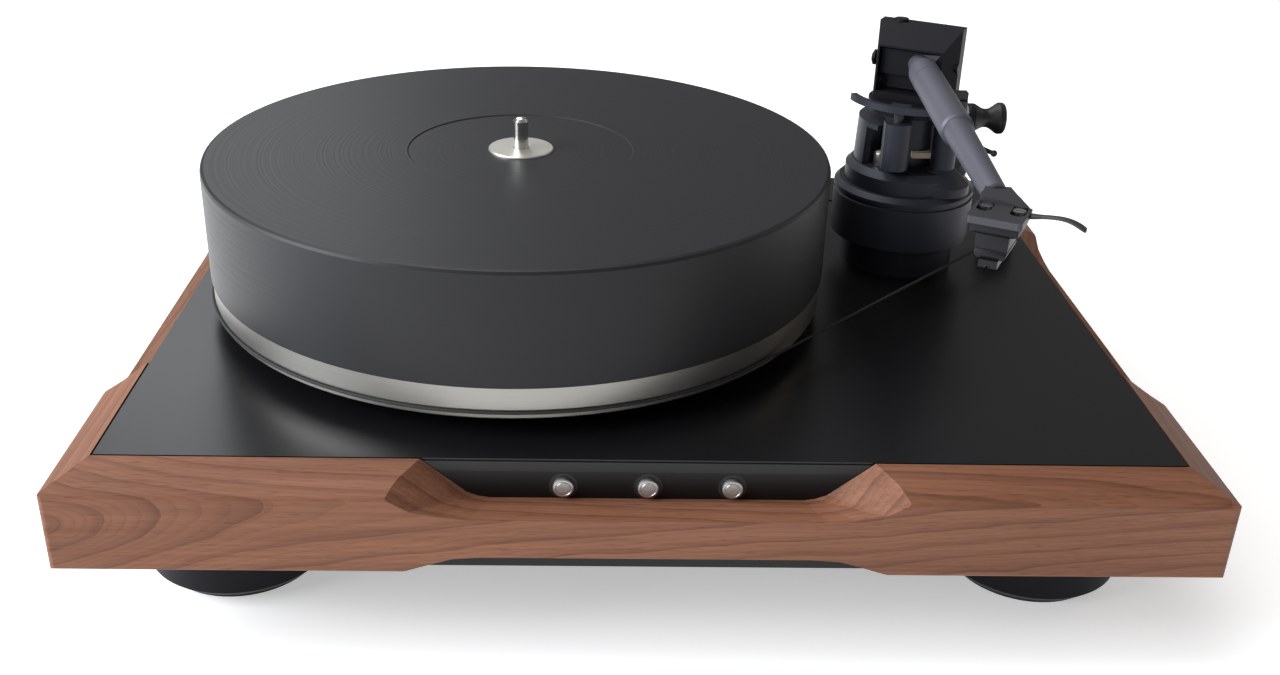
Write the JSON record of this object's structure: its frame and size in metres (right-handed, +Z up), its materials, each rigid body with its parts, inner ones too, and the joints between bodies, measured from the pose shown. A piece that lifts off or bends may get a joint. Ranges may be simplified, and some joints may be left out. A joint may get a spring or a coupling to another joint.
{
  "type": "record player",
  "caption": "Belt-drive record player: wood-framed plinth with scooped hand dips, deep black platter on a silver ring, push buttons and a gimballed arm with head shell and cartridge.",
  "frame": {"origin": "centre of the plinth's footprint, on the table surface under the feet", "axes": "+X to the right along the width, +Y to the back, +Z up; the push buttons face -Y"},
  "size_m": [0.486, 0.384, 0.2214],
  "materials": {
    "walnut": "satin oiled walnut",
    "frame_black": "satin black",
    "deck_black": "satin black",
    "grey_metal": "plain",
    "steel": "bright",
    "foot_black": "satin black",
    "rubber": "matt",
    "button_silver": "turned",
    "pcb": "satin",
    "brass": "satin",
    "plastic_black": "matt",
    "platter_black": "fine matt",
    "ring_silver": "turned",
    "hub_silver": "bright turned",
    "arm_black": "black anodised",
    "arm_grey": "dark grey anodised",
    "weight_black": "satin black",
    "beige": "plain",
    "cartridge_black": "satin"
  },
  "bodies": {
    "chassis": {"front_board": "walnut", "rear_board": "walnut", "left_board": "walnut", "right_board": "walnut", "chassis_frame": "frame_black", "top_plate": "deck_black", "base_plate": "frame_black", "corner_brackets": "grey_metal", "board_screws": "steel", "deck_screws": "steel", "foot_front_left": "foot_black", "foot_front_right": "foot_black", "foot_rear_left": "foot_black", "foot_rear_right": "foot_black", "foot_pads": "rubber", "foot_bolts": "steel", "button_sleeves": "plastic_black", "switch_board": "pcb", "drive_board": "pcb", "rear_sockets": "brass", "power_inlet": "plastic_black", "ground_post": "steel", "motor_body": "grey_metal", "drive_belt": "rubber", "bearing_housing": "grey_metal", "bearing_bushes": "brass", "thrust_ball": "steel", "arm_drum": "arm_black", "arm_collar": "arm_black", "arm_column": "arm_black", "arm_shroud": "arm_black", "arm_sleeve": "brass", "level_cap": "hub_silver", "lead_strip": "beige", "lift_body": "arm_black", "rest_post": "arm_black", "rest_clip": "plastic_black"},
    "platter": {"spindle": "steel", "steel_ring": "ring_silver", "platter_body": "platter_black", "hub_disc": "hub_silver"},
    "pulley": {"motor_pulley": "arm_black"},
    "button_left": {"button_left": "button_silver"},
    "button_middle": {"button_middle": "button_silver"},
    "button_right": {"button_right": "button_silver"},
    "yoke": {"yoke": "arm_grey", "pivot_screws": "arm_grey"},
    "arm": {"arm_tube_rear": "arm_grey", "arm_tube_front": "arm_grey", "head_shell": "arm_grey", "finger_lift": "arm_grey", "cartridge": "cartridge_black", "stylus": "cartridge_black", "cartridge_screws": "steel"},
    "weight": {"counterweight": "weight_black", "weight_screw": "steel"},
    "cue_rail": {"lift_rail": "arm_black"},
    "cue_lever": {"lift_lever": "arm_black"},
    "bias_knob": {"bias_knob": "plastic_black"}
  },
  "joints": [
    {"name": "platter_spin", "type": "hinge", "parent": "chassis", "child": "platter", "pos_m": [-0.0598, -0.0045, 0.1], "axis": [0, 0, 1], "continuous": true},
    {"name": "pulley_spin", "type": "hinge", "parent": "chassis", "child": "pulley", "pos_m": [0.2061, 0.0654, 0.1], "axis": [0, 0, 1], "continuous": true},
    {"name": "press_left", "type": "slide", "parent": "chassis", "child": "button_left", "axis": [0, 1, 0], "range_m": [0, 0.0015], "stiffness_N_per_m": 400, "springref_m": -0.0005},
    {"name": "press_middle", "type": "slide", "parent": "chassis", "child": "button_middle", "axis": [0, 1, 0], "range_m": [0, 0.0015], "stiffness_N_per_m": 400, "springref_m": -0.0005},
    {"name": "press_right", "type": "slide", "parent": "chassis", "child": "button_right", "axis": [0, 1, 0], "range_m": [0, 0.0015], "stiffness_N_per_m": 400, "springref_m": -0.0005},
    {"name": "arm_swing", "type": "hinge", "parent": "chassis", "child": "yoke", "pos_m": [0.1448, 0.0468, 0.2], "axis": [0, 0, 1], "range_deg": [-57.5, 0]},
    {"name": "arm_tilt", "type": "hinge", "parent": "yoke", "child": "arm", "pos_m": [0.1448, 0.0468, 0.2], "axis": [-0.8847, 0.4661, 0], "range_deg": [-3.7, 8]},
    {"name": "weight_slide", "type": "slide", "parent": "arm", "child": "weight", "axis": [0.0659, 0.9977, -0.014], "range_m": [-0.005, 0.005]},
    {"name": "cue_lever_turn", "type": "hinge", "parent": "chassis", "child": "cue_lever", "pos_m": [0.1448, 0.0428, 0.156], "axis": [1, 0, 0], "range_deg": [-40, 0]},
    {"name": "cue_rail_slide", "type": "slide", "parent": "chassis", "child": "cue_rail", "axis": [0, 0, 1], "range_m": [-0.005, 0]},
    {"name": "bias_turn", "type": "hinge", "parent": "chassis", "child": "bias_knob", "pos_m": [0.1448, 0.0458, 0.1715], "axis": [1, 0, 0], "range_deg": [-150, 150]}
  ],
  "couplings": [
    {"joint": "pulley_spin", "follows": "platter_spin", "ratio": 15.646},
    {"joint": "cue_lever_turn", "follows": "cue_rail_slide", "rad_per_m": 139.6}
  ]
}
